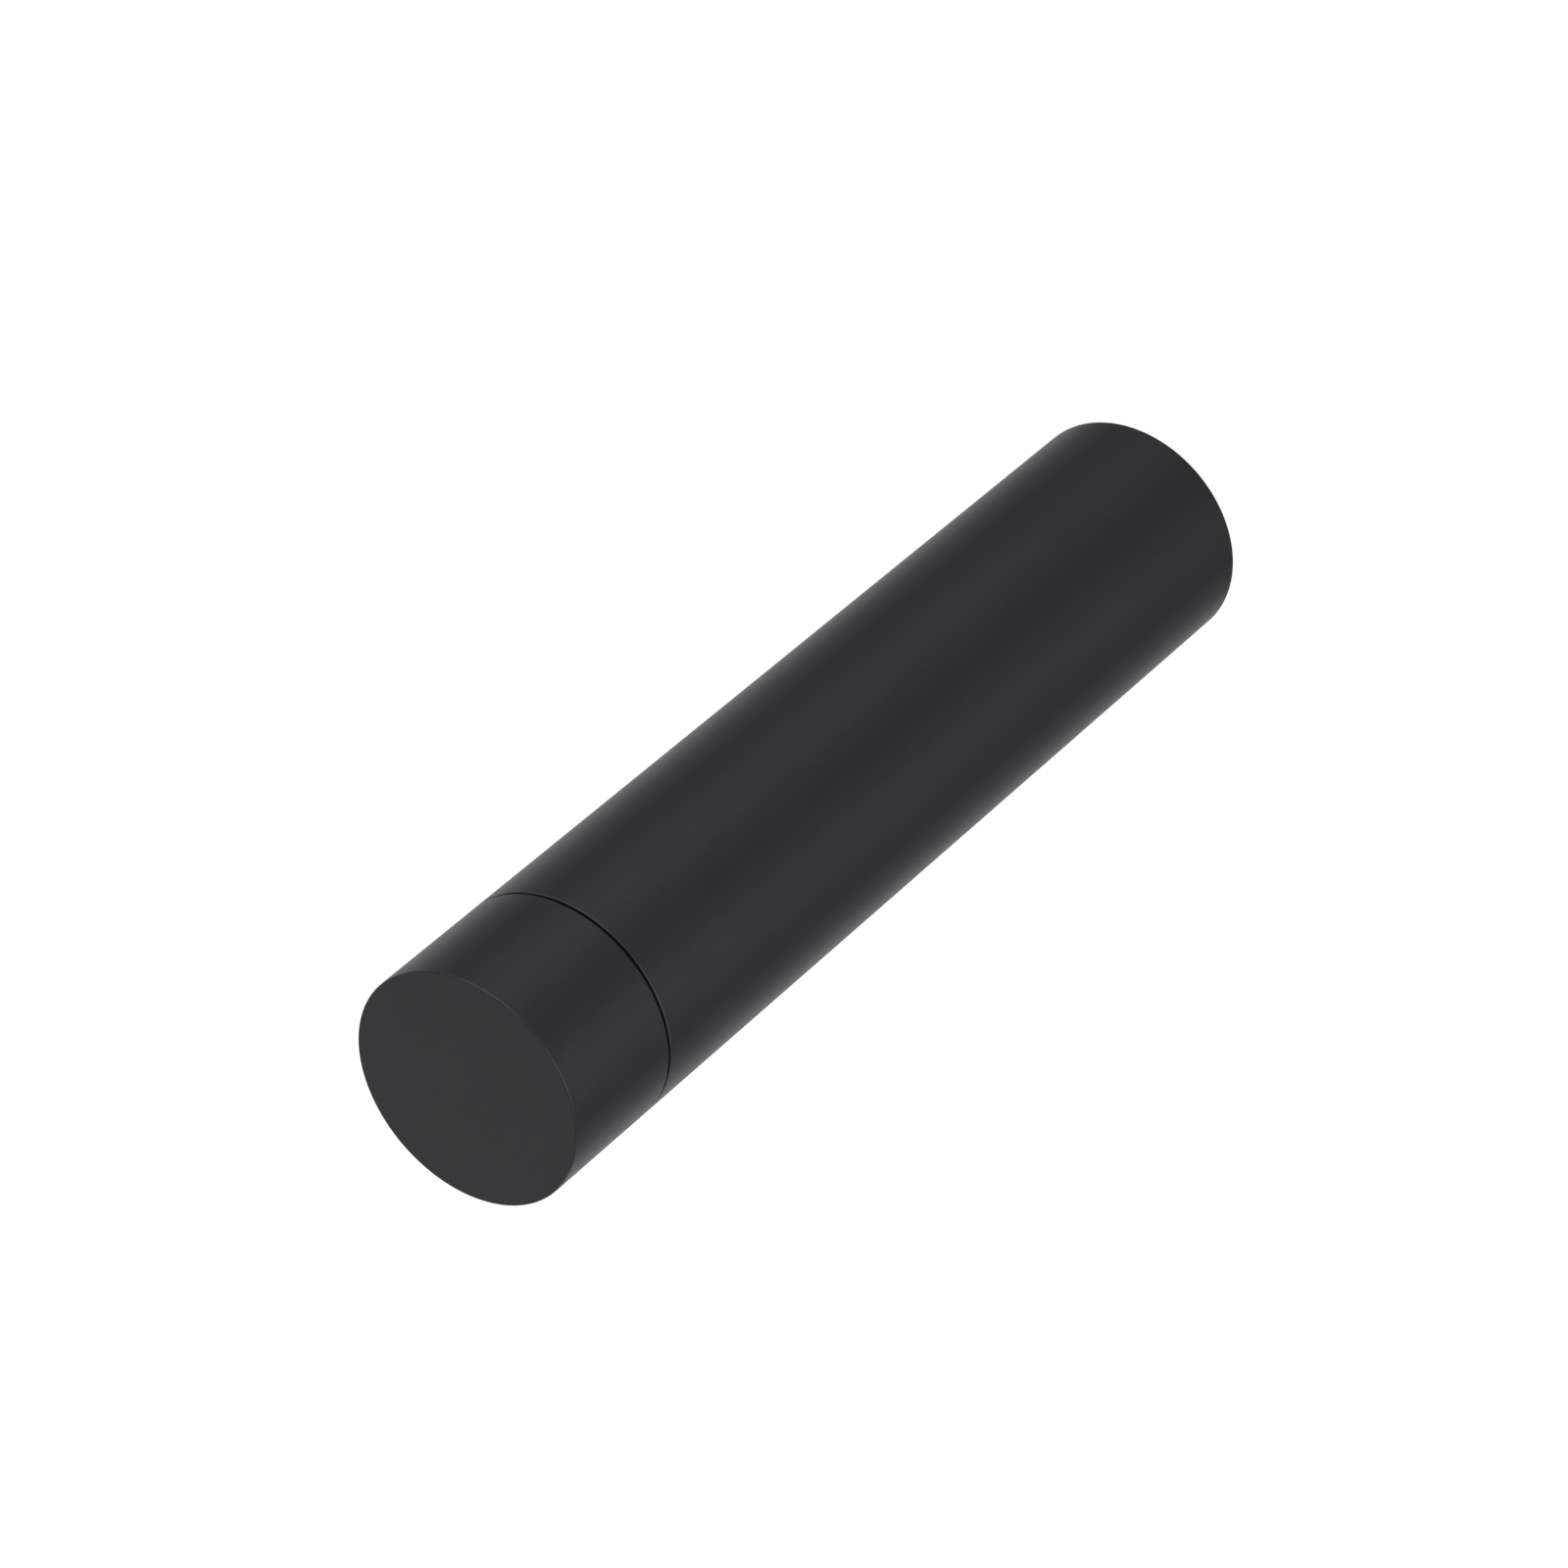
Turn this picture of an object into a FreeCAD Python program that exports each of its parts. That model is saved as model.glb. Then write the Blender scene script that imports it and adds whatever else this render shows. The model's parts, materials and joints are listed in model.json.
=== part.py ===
import FreeCAD, Part

# A travel-size shaving cream dispenser, built as a slim metal tube with a pull-off cap.
# Under the cap sits an airless pump: pressing its button draws cream up out of an inner
# cartridge, and a follower piston rises behind the cream, so no dip tube is needed.
# Units are millimetres. +Z runs up the tube's axis from the middle of the base,
# and the nozzle points along +X.

import math
import os

from FreeCAD import Vector

# Driving dimensions.
overall_height = 140.0
outer_radius = 15.0
cap_height = 17.7          # from the cap's open edge to its flat end
seam_gap = 0.35            # the open line between cap and sleeve
foot_height = 0.1          # the base plug stands this far proud of the sleeve
metal_wall = 0.8           # sleeve and cap shell
crisp_edge = 0.15          # rounding where cap and sleeve meet
end_edge = 0.15            # rounding at the two flat ends
glue_gap = 0.05            # round a part that is pressed or glued into another
slide_gap = 0.05           # round a lip that slides in a bore
button_stroke = 3.5

# The tube and its cap.
up = Vector(0, 0, 1)
axis_point = Vector(0, 0, 0)
cap_bottom = overall_height - cap_height
sleeve_top = cap_bottom - seam_gap
sleeve_bore = outer_radius - metal_wall
cap_top_wall = 1.0
liner_wall = 1.0
liner_radius = sleeve_bore
liner_bore = liner_radius - liner_wall
liner_top = overall_height - cap_top_wall
liner_roof = liner_top - liner_wall
grip_rib_radius = liner_bore - 0.1
insert_flange_top = sleeve_top - 0.6
stop_gap = 0.1             # between the closed cap and the ring that it stops on

# The stack under the collar: closure, guide, barrel and gasket are clamped on the cartridge's neck.
gasket_height = 0.8
barrel_flange = 1.2
guide_flange = 0.6
closure_roof = 1.0
closure_radius = 11.3
insert_flange = 1.2
closure_top = insert_flange_top - insert_flange - glue_gap
barrel_top = closure_top - closure_roof - guide_flange
neck_top = barrel_top - barrel_flange - gasket_height

# The cartridge, from its open lower end up to the neck.
cartridge_radius = 13.9
cartridge_bore = 12.8
cartridge_bottom = 1.6
neck_radius = 9.6
neck_bore = 8.2
shoulder_top = neck_top - 6.9
shoulder_bottom = shoulder_top - 3.6

# The pump's barrel, inlet and ball.
barrel_bore = 6.5
barrel_radius = 7.5
barrel_bottom = neck_top - 19.0
barrel_floor = barrel_bottom + 2.2
inlet_radius = 1.2
seat_rim = 2.6
ball_radius = 2.0
ball_lift = 0.8

# The collar, the button and the nozzle. Pressed down, the nozzle's boss stays above the collar.
collar_radius = 13.05
collar_wall = 0.5
collar_bore = 10.25
collar_top = sleeve_top + 5.25
button_radius = 9.85
button_wall = 1.2
button_bottom = closure_top + button_stroke + 0.8
nozzle_bore = 1.6
nozzle_boss = 2.2
nozzle_height = collar_top + button_stroke + nozzle_boss + 0.5
button_top = nozzle_height + 3.8
boss_end = 11.2
tip_start = boss_end - 2.4
valve_back = tip_start - 1.15

# The stem and the parts on it, with the button up.
stem_radius = 2.2
stem_bore = 1.2
stem_top = nozzle_height - 1.2
spring_wire = 0.7
spring_radius = 4.9
spring_bottom = barrel_floor + 0.8
piston_seat = spring_bottom + 10.0
stem_bottom = piston_seat - 3.1

# The follower piston.
follower_bottom = 4.1
follower_top = 15.5
follower_cup = 8.4


def rounded_corner(before, corner, after, radius):
    """The two ends and the middle of the arc that rounds a corner of an outline."""
    back = (before - corner).normalize()
    ahead = (after - corner).normalize()
    half_angle = back.getAngle(ahead) / 2
    bisector = (back + ahead).normalize()
    reach = radius / math.tan(half_angle)
    middle = corner + bisector * (radius / math.sin(half_angle) - radius)
    return corner + back * reach, middle, corner + ahead * reach


def outline_face(corners):
    """A flat face in the XZ plane from (radius, height) corners; a third number rounds a corner."""
    places = [Vector(corner[0], 0, corner[1]) for corner in corners]
    edges = []
    pen = None
    for number, corner in enumerate(corners):
        here = places[number]
        start = end = here
        if len(corner) == 3:
            after = places[(number + 1) % len(places)]
            start, middle, end = rounded_corner(places[number - 1], here, after, corner[2])
            edges.append(Part.Arc(start, middle, end).toShape())
        if pen is None:
            first = start
        else:
            edges.append(Part.LineSegment(pen, start).toShape())
        pen = end
    edges.append(Part.LineSegment(pen, first).toShape())
    return Part.Face(Part.Wire(Part.__sortEdges__(edges)))


def turned(corners):
    """A solid turned about the Z axis from its half outline."""
    solid = outline_face(corners).revolve(axis_point, up, 360)
    if solid.Volume < 0:
        solid.reverse()
    return solid


def rod(radius, low, high):
    """A plain round bar on the Z axis."""
    return Part.makeCylinder(radius, high - low, Vector(0, 0, low), up)


def cross_rod(radius, start, end):
    """A round bar along +X at the nozzle's height."""
    return Part.makeCylinder(radius, end - start, Vector(start, 0, nozzle_height), Vector(1, 0, 0))


def ring(inner, outer, low, high):
    """A plain round ring on the Z axis."""
    return rod(outer, low, high).cut(rod(inner, low, high))


def round_the_axis(shape, count, start=0.0):
    """Copies of a shape, evenly spaced about the Z axis."""
    copies = []
    for number in range(count):
        copy = shape.copy()
        copy.rotate(axis_point, up, start + 360.0 * number / count)
        copies.append(copy)
    return copies


def radial_rib(inner, outer, thickness, low, high):
    """An upright plate along +X between two radii."""
    corner = Vector(inner, -thickness / 2, low)
    return Part.makeBox(outer - inner, thickness, high - low, corner)


def is_circle(edge, radius, height):
    """Whether an edge is a circle of that radius at that height."""
    if edge.Degenerated or not isinstance(edge.Curve, Part.Circle):
        return False
    return abs(edge.Curve.Radius - radius) < 0.01 and abs(edge.Curve.Center.z - height) < 0.01


def is_boss_root(edge):
    """Whether an edge is the outer line where the nozzle's boss leaves the button's side."""
    box = edge.BoundBox
    outside = box.XMin > button_radius - 0.6 and box.XMax < button_radius + 0.1
    return outside and box.ZLength > 2 * nozzle_boss - 0.2 and box.YLength > nozzle_boss - 0.2


def joined(solid, others):
    """One solid from several that touch or overlap."""
    return solid.fuse(others).removeSplitter()


def without(solid, others):
    """A solid with others cut away."""
    return solid.cut(others).removeSplitter()


# The tube: sleeve, base and the cartridge inside.


def make_body_sleeve():
    return turned([
        (sleeve_bore, foot_height),
        (outer_radius, foot_height, end_edge),
        (outer_radius, sleeve_top, crisp_edge),
        (sleeve_bore, sleeve_top, crisp_edge),
    ])


def make_base_plug():
    """The moulded base: a foot ring, a recessed panel with the vent, and a snap-in skirt."""
    foot_outer = 13.6
    foot_inner = 11.2
    recess = 0.8
    panel_top = 2.2
    skirt_radius = cartridge_bore - glue_gap
    skirt_top = 3.9
    bead = 0.15
    bead_height = 3.0
    vent_radius = 0.8
    plug = turned([
        (0, recess),
        (foot_inner - recess, recess, 0.3),
        (foot_inner, 0, 0.3),
        (foot_outer, 0, 0.3),
        (sleeve_bore - glue_gap, 0.6),
        (sleeve_bore - glue_gap, cartridge_bottom),
        (skirt_radius, cartridge_bottom),
        (skirt_radius, bead_height - bead),
        (skirt_radius + bead, bead_height),
        (skirt_radius, bead_height + bead),
        (skirt_radius, skirt_top, 0.2),
        (skirt_radius - 1.1, skirt_top, 0.2),
        (skirt_radius - 1.1, panel_top),
        (0, panel_top),
    ])
    rib = radial_rib(2.0, skirt_radius - 1.0, 0.9, panel_top - 0.1, panel_top + 1.1)
    plug = joined(plug, round_the_axis(rib, 8) + [rod(2.4, panel_top - 0.1, panel_top + 1.1)])
    panel_groove = ring(6.2, 6.8, 0, recess + 0.25)
    return without(plug, [rod(vent_radius, 0, panel_top + 2), panel_groove])


def make_cream_cartridge():
    """The moulded reservoir. Small ribs centre it in the sleeve."""
    groove = 0.2
    groove_height = 3.0
    snap_bead = 0.4
    rib_length = 10.0
    rib_heights = (8.0, 90.0)
    cartridge = turned([
        (cartridge_bore, cartridge_bottom),
        (cartridge_radius, cartridge_bottom),
        (cartridge_radius, shoulder_bottom, 1.5),
        (neck_radius, shoulder_top, 0.5),
        (neck_radius, neck_top - 4.0),
        (neck_radius + snap_bead, neck_top - 3.5),
        (neck_radius, neck_top - 2.4),
        (neck_radius, neck_top, 0.3),
        (neck_bore, neck_top, 0.3),
        (neck_bore, shoulder_top - 0.4, 0.5),
        (cartridge_bore, shoulder_bottom - 0.5, 1.0),
        (cartridge_bore, groove_height + groove),
        (cartridge_bore + groove, groove_height),
        (cartridge_bore, groove_height - groove),
    ])
    rib_root = (cartridge_radius + cartridge_bore) / 2
    rib_outer = sleeve_bore - glue_gap
    ribs = []
    for low in rib_heights:
        ribs += round_the_axis(radial_rib(rib_root, rib_outer, 1.2, low, low + rib_length), 8)
    return joined(cartridge, ribs)


# The cap: metal outside, moulded inside.


def make_cap_shell():
    return turned([
        (0, overall_height),
        (0, liner_top + glue_gap),
        (liner_radius, liner_top + glue_gap, 0.5),
        (liner_radius, cap_bottom, crisp_edge),
        (outer_radius, cap_bottom, crisp_edge),
        (outer_radius, overall_height, end_edge),
    ])


def make_cap_liner():
    """The moulded inner cap. Its spigot stops on the collar's ring and its ribs grip the collar."""
    spigot_bottom = insert_flange_top + stop_gap
    spigot_radius = sleeve_bore - 0.25
    rib_top = spigot_bottom + 6.0
    lead_in = 0.4
    outer = liner_radius - glue_gap
    liner = turned([
        (0, liner_top),
        (0, liner_roof),
        (liner_bore, liner_roof, 0.6),
        (liner_bore, spigot_bottom + lead_in),
        (liner_bore + lead_in, spigot_bottom),
        (spigot_radius, spigot_bottom, 0.1),
        (spigot_radius, cap_bottom + 0.4),
        (outer, cap_bottom + 0.4),
        (outer, liner_top, 0.6),
    ])
    rib = radial_rib(grip_rib_radius, liner_bore + liner_wall / 2, 1.2, spigot_bottom + lead_in, rib_top)
    return joined(liner, round_the_axis(rib, 12, 15))


# The collar at the mouth of the tube.


def make_shoulder_collar():
    """The metal ring that hides the pump's closure and holds the cap."""
    inner = collar_radius - collar_wall
    return turned([
        (inner, sleeve_top - 0.5),
        (collar_radius, sleeve_top - 0.5),
        (collar_radius, collar_top, 0.7),
        (collar_bore, collar_top, 0.1),
        (collar_bore, collar_top - collar_wall, 0.1),
        (inner, collar_top - collar_wall, 0.2),
    ])


def make_collar_insert():
    """The moulded ring that clips the collar to the closure and centres it in the sleeve."""
    outer = sleeve_bore - glue_gap
    flange_top = insert_flange_top
    flange_bottom = flange_top - insert_flange
    tube_outer = collar_radius - collar_wall - glue_gap
    tube_top = collar_top - collar_wall - glue_gap
    skirt_bottom = flange_top - 9.0
    skirt_wall = 1.0
    grip = closure_radius + glue_gap
    insert = turned([
        (collar_bore, flange_bottom),
        (collar_bore, tube_top),
        (tube_outer, tube_top, 0.2),
        (tube_outer, flange_top),
        (outer, flange_top, 0.2),
        (outer, skirt_bottom, 0.3),
        (outer - skirt_wall, skirt_bottom, 0.3),
        (outer - skirt_wall, flange_bottom, 0.3),
        (grip + skirt_wall, flange_bottom, 0.2),
        (grip + skirt_wall, skirt_bottom + 1.0, 0.2),
        (grip, skirt_bottom + 1.0, 0.2),
        (grip, flange_bottom),
    ])
    inner_end = grip + skirt_wall / 2
    rib = radial_rib(inner_end, outer - skirt_wall / 2, 0.8, skirt_bottom + 2.0, flange_bottom + 0.2)
    return joined(insert, round_the_axis(rib, 12))


# The parts of the pump that stay still.


def make_neck_gasket():
    return turned([
        (barrel_radius + 0.1, neck_top),
        (neck_radius - 0.1, neck_top),
        (neck_radius - 0.1, neck_top + gasket_height),
        (barrel_radius + 0.1, neck_top + gasket_height),
    ])


def make_pump_barrel():
    """The pump's cylinder, with the cone that the inlet ball closes."""
    seat_bottom = barrel_floor - (seat_rim - inlet_radius)
    flange_bottom = barrel_top - barrel_flange
    return turned([
        (inlet_radius, barrel_bottom),
        (barrel_radius, barrel_bottom, 0.8),
        (barrel_radius, flange_bottom),
        (neck_radius - 0.1, flange_bottom),
        (neck_radius - 0.1, barrel_top),
        (barrel_bore, barrel_top),
        (barrel_bore, barrel_floor),
        (seat_rim, barrel_floor),
        (inlet_radius, seat_bottom),
    ])


def seated_ball_height():
    """The ball's middle when it rests on the cone, which is cut at 45 degrees, with a hair of room."""
    cone_point = barrel_floor - seat_rim
    return cone_point + ball_radius * math.sqrt(2) + 0.02


def make_inlet_ball():
    return Part.makeSphere(ball_radius, Vector(0, 0, seated_ball_height()))


def make_ball_cage():
    """The ring that keeps the ball near its seat and carries the spring's lower end."""
    cage_bore = 3.0
    cage_radius = 4.0
    roof_bottom = seated_ball_height() + ball_radius + ball_lift + 0.05
    cage = turned([
        (cage_bore, barrel_floor),
        (barrel_bore - glue_gap, barrel_floor),
        (barrel_bore - glue_gap, spring_bottom),
        (cage_radius, spring_bottom),
        (cage_radius, roof_bottom + 0.8, 0.3),
        (0, roof_bottom + 0.8),
        (0, roof_bottom),
        (cage_bore, roof_bottom),
    ])
    window = Part.makeBox(3.0, 1.6, 1.5, Vector(1.4, -0.8, roof_bottom - 0.6))
    return without(cage, round_the_axis(window, 3))


def make_stem_guide():
    """The lid of the pump's cylinder. The stem slides through it."""
    guide_bore = stem_radius + 0.08
    guide_bottom = barrel_top - 3.5
    skirt = barrel_bore - glue_gap
    boss_radius = 3.6
    boss_top = closure_top + 0.4
    return turned([
        (guide_bore, guide_bottom),
        (boss_radius, guide_bottom, 0.2),
        (boss_radius, barrel_top - 0.4, 0.2),
        (skirt - 1.0, barrel_top - 0.4, 0.2),
        (skirt - 1.0, guide_bottom + 0.4, 0.2),
        (skirt, guide_bottom + 0.4, 0.2),
        (skirt, barrel_top),
        (neck_radius - 0.3, barrel_top),
        (neck_radius - 0.3, barrel_top + guide_flange),
        (boss_radius, barrel_top + guide_flange),
        (boss_radius, boss_top, 0.3),
        (guide_bore, boss_top, 0.2),
    ])


def make_neck_closure():
    """The ring that snaps over the cartridge's neck and clamps the pump down."""
    roof_bottom = closure_top - closure_roof
    skirt_bottom = shoulder_top + 1.2
    skirt_bore = neck_radius + 0.5
    hook = skirt_bore - 0.4
    hook_top = neck_top - 4.1
    closure = turned([
        (3.8, roof_bottom),
        (3.8, closure_top, 0.2),
        (closure_radius, closure_top, 0.5),
        (closure_radius, skirt_bottom, 0.3),
        (skirt_bore, skirt_bottom, 0.2),
        (hook, skirt_bottom + 0.9),
        (hook, hook_top),
        (skirt_bore, hook_top + 0.3),
        (skirt_bore, roof_bottom),
    ])
    flute = Part.makeCylinder(0.35, 4.0, Vector(closure_radius + 0.1, 0, skirt_bottom - 0.5), up)
    return without(closure, round_the_axis(flute, 24))


# The parts of the pump that move.


def coil_point(turns, height):
    """The middle of the spring's wire after that many turns."""
    angle = 2 * math.pi * turns
    return Vector(spring_radius * math.cos(angle), spring_radius * math.sin(angle), height)


def make_return_spring():
    """A compression spring: open coils between one closed turn at each end."""
    height = piston_seat - spring_bottom - 0.1
    closed_rise = spring_wire * 1.05
    open_turns = 3.5
    open_rise = height - spring_wire - 2 * closed_rise
    base = spring_bottom + 0.05 + spring_wire / 2
    spans = [(closed_rise, 1.0), (open_rise, open_turns), (closed_rise, 1.0)]
    steps_per_turn = 16
    points = [coil_point(0.0, base)]
    low = base
    turns_so_far = 0.0
    for rise, turns in spans:
        steps = int(steps_per_turn * turns)
        for step in range(1, steps + 1):
            share = step / steps
            points.append(coil_point(turns_so_far + turns * share, low + rise * share))
        low += rise
        turns_so_far += turns
    path = Part.BSplineCurve()
    path.interpolate(points)
    spine = Part.Wire(path.toShape())
    start_direction = path.tangent(path.FirstParameter)[0]
    section = Part.Wire(Part.Circle(points[0], start_direction, spring_wire / 2).toShape())
    return spine.makePipeShell([section], True, True)


def make_pump_stem():
    """The hollow stem. Cream enters it through cross holes below the piston."""
    flange_bottom = piston_seat - 0.9
    flange_radius = 3.3
    stem = turned([
        (0, stem_bottom),
        (stem_radius, stem_bottom, 0.5),
        (stem_radius, flange_bottom),
        (flange_radius, flange_bottom, 0.2),
        (flange_radius, piston_seat),
        (stem_radius, piston_seat),
        (stem_radius, stem_top, 0.3),
        (stem_bore, stem_top, 0.2),
        (stem_bore, stem_bottom + 1.0),
        (0, stem_bottom + 1.0),
    ])
    port_height = stem_bottom + 1.6
    port = Part.makeCylinder(0.5, 3.0, Vector(0, 0, port_height), Vector(1, 0, 0))
    return without(stem, round_the_axis(port, 4))


def make_stem_piston():
    """The pump's soft piston: a hub on the stem and a rim with two sealing lips."""
    lip = barrel_bore - slide_gap
    rim = 5.9
    rim_inner = 5.2
    hub_bore = stem_radius + 0.01
    hub_radius = 3.4
    web_top = piston_seat + 1.1
    return turned([
        (hub_bore, piston_seat),
        (rim_inner, piston_seat, 0.2),
        (lip - 0.35, piston_seat - 0.7),
        (lip, piston_seat - 0.7),
        (rim, piston_seat + 1.0, 0.6),
        (rim, piston_seat + 2.0, 0.6),
        (lip, piston_seat + 3.6),
        (lip - 0.35, piston_seat + 3.6),
        (rim_inner, web_top + 0.6, 0.3),
        (rim_inner, web_top, 0.2),
        (hub_radius, web_top, 0.2),
        (hub_radius, piston_seat + 3.9, 0.2),
        (hub_bore, piston_seat + 3.9),
    ])


def make_follower_piston():
    """The piston that rises behind the cream. Its cup clears the pump at the top of its travel."""
    lip = cartridge_bore - slide_gap
    rim = 12.3
    wall = 1.1
    floor_bottom = follower_bottom + 0.8
    floor_top = floor_bottom + wall
    return turned([
        (0, floor_bottom),
        (follower_cup + wall, floor_bottom, 0.4),
        (follower_cup + wall, follower_top - wall, 0.3),
        (rim - wall, follower_top - wall, 0.3),
        (rim - wall, follower_bottom, 0.2),
        (lip, follower_bottom, 0.1),
        (lip, follower_bottom + 0.6),
        (rim, follower_bottom + 1.6, 0.5),
        (rim, follower_top - 1.6, 0.5),
        (lip, follower_top - 0.6),
        (lip, follower_top, 0.1),
        (follower_cup, follower_top, 0.3),
        (follower_cup, floor_top, 0.4),
        (0, floor_top),
    ])


def make_cream_charge():
    """The cream: it fills the cartridge between the follower and the pump."""
    clear = 0.05
    cup_floor = follower_bottom + 1.9
    return turned([
        (0, cup_floor + clear),
        (follower_cup - clear, cup_floor + clear, 0.4),
        (follower_cup - clear, follower_top + clear),
        (cartridge_bore - clear, follower_top + clear),
        (cartridge_bore - clear, shoulder_bottom - 0.6, 1.0),
        (neck_bore + 0.2, shoulder_top - 1.0),
        (barrel_radius + clear, shoulder_top - 1.0),
        (barrel_radius + clear, barrel_bottom - clear, 0.8),
        (0, barrel_bottom - clear),
    ])


# The button and its nozzle.


def make_actuator_button():
    """The press button: a dished shell, a socket on the stem and a duct to the nozzle."""
    dish_depth = 0.9
    dish_radius = 7.4
    dish_blend = 1.2
    boss_blend = 0.5
    roof_bottom = button_top - 2.3
    socket_bore = stem_radius + 0.05
    socket_radius = 3.4
    socket_bottom = button_bottom + 0.8
    duct_radius = 1.0
    shell = turned([
        (0, button_top),
        (button_radius, button_top, 0.6),
        (button_radius, button_bottom, 0.2),
        (button_radius - button_wall, button_bottom, 0.2),
        (button_radius - button_wall, roof_bottom, 0.8),
        (0, roof_bottom),
    ])
    dish_curve = (dish_radius ** 2 + dish_depth ** 2) / (2 * dish_depth)
    dish = Part.makeSphere(dish_curve, Vector(0, 0, button_top - dish_depth + dish_curve))
    shell = shell.cut(dish)
    rim = [edge for edge in shell.Edges if is_circle(edge, dish_radius, button_top)]
    shell = shell.makeFillet(dish_blend, rim)
    shell = joined(shell, [cross_rod(nozzle_boss, button_radius - 0.6, boss_end)])
    root = [edge for edge in shell.Edges if is_boss_root(edge)]
    shell = shell.makeFillet(boss_blend, root)
    solids = [
        rod(socket_radius, socket_bottom, roof_bottom + 0.3),
        cross_rod(nozzle_boss, 1.0, button_radius - 0.5),
    ]
    rib_outer = button_radius - button_wall / 2
    rib = radial_rib(socket_radius - 0.4, rib_outer, 0.9, button_bottom + 3.6, roof_bottom + 0.3)
    solids += round_the_axis(rib, 6, 30)
    button = joined(shell, solids)
    hollows = [
        rod(socket_bore, socket_bottom - 1, stem_top + 0.05),
        rod(stem_bore, stem_top, nozzle_height + duct_radius),
        cross_rod(duct_radius, 0, boss_end),
        cross_rod(nozzle_bore, valve_back - glue_gap, boss_end + 1),
    ]
    return without(button, hollows)


def make_nozzle_tip():
    """The outlet that plugs into the button, with a short tapered spout."""
    bore = 0.9
    tip = outline_face([
        (tip_start, bore),
        (tip_start, nozzle_bore - 0.02),
        (boss_end, nozzle_bore - 0.02),
        (boss_end, nozzle_boss - 0.1, 0.1),
        (boss_end + 0.5, nozzle_boss - 0.1, 0.2),
        (boss_end + 1.2, nozzle_boss - 0.7, 0.2),
        (boss_end + 1.2, bore, 0.1),
    ])
    solid = tip.revolve(axis_point, Vector(1, 0, 0), 360)
    if solid.Volume < 0:
        solid.reverse()
    solid.translate(Vector(0, 0, nozzle_height))
    return solid


def make_outlet_valve():
    """A soft slit valve behind the nozzle tip that keeps air off the cream."""
    thickness = 0.5
    rim_end = tip_start - glue_gap
    rim = nozzle_bore - glue_gap
    hollow = cross_rod(rim - thickness, valve_back + thickness, rim_end)
    pad = cross_rod(rim, valve_back, rim_end).cut(hollow)
    slit = Part.makeBox(thickness * 2, 0.08, 1.6, Vector(valve_back - 0.1, -0.04, nozzle_height - 0.8))
    return without(pad, [slit])


makers = {
    "body_sleeve": make_body_sleeve,
    "base_plug": make_base_plug,
    "cream_cartridge": make_cream_cartridge,
    "cap_shell": make_cap_shell,
    "cap_liner": make_cap_liner,
    "shoulder_collar": make_shoulder_collar,
    "collar_insert": make_collar_insert,
    "neck_gasket": make_neck_gasket,
    "pump_barrel": make_pump_barrel,
    "inlet_ball": make_inlet_ball,
    "ball_cage": make_ball_cage,
    "stem_guide": make_stem_guide,
    "neck_closure": make_neck_closure,
    "return_spring": make_return_spring,
    "pump_stem": make_pump_stem,
    "stem_piston": make_stem_piston,
    "follower_piston": make_follower_piston,
    "cream_charge": make_cream_charge,
    "actuator_button": make_actuator_button,
    "nozzle_tip": make_nozzle_tip,
    "outlet_valve": make_outlet_valve,
}

os.makedirs("parts", exist_ok=True)
for name, make in makers.items():
    part = make()
    box = part.BoundBox
    print(f"{name:16s} {part.ShapeType:9s} valid {part.isValid()} solids {len(part.Solids)} "
          f"volume {part.Volume:9.2f} z {box.ZMin:7.2f} to {box.ZMax:7.2f} x {box.XMax:6.2f}")
    part.exportStep(f"parts/{name}.step")
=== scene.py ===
import json
import math

import bpy
import numpy as np
from mathutils import Matrix, Vector


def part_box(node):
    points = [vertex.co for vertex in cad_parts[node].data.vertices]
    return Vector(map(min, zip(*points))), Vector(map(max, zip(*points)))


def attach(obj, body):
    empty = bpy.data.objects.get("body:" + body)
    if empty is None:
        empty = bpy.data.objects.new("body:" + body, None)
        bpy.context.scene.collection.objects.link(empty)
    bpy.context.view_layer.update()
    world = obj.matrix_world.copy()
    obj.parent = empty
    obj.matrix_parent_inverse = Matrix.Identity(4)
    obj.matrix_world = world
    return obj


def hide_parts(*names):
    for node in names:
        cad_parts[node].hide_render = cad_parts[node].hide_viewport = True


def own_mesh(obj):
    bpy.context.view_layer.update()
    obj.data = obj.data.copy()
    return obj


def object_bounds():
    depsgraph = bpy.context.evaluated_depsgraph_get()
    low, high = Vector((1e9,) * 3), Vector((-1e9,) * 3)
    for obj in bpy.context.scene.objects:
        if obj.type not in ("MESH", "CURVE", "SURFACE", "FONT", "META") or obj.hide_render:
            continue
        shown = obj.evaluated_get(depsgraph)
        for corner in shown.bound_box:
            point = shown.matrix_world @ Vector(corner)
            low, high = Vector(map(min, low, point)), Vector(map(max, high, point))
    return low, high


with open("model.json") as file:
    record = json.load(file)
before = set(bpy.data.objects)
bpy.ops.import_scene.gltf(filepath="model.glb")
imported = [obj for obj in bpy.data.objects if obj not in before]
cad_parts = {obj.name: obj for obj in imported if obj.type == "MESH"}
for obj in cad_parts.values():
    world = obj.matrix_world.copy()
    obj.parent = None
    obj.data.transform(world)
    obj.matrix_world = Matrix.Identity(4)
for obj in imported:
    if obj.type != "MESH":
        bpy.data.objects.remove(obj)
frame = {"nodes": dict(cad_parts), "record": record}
cadLow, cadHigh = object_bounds()
mm = 0.001
topCentre = Vector((0, 0, cadHigh.z))
tubeRadius = cadHigh.x
bodyOfNode = {node: body for body, nodes in frame["record"]["behaviour"]["bodies"].items() for node in nodes}


# mesh making. A turned piece is an outline swept about an axis, a coiled piece a round wire along a path

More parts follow.
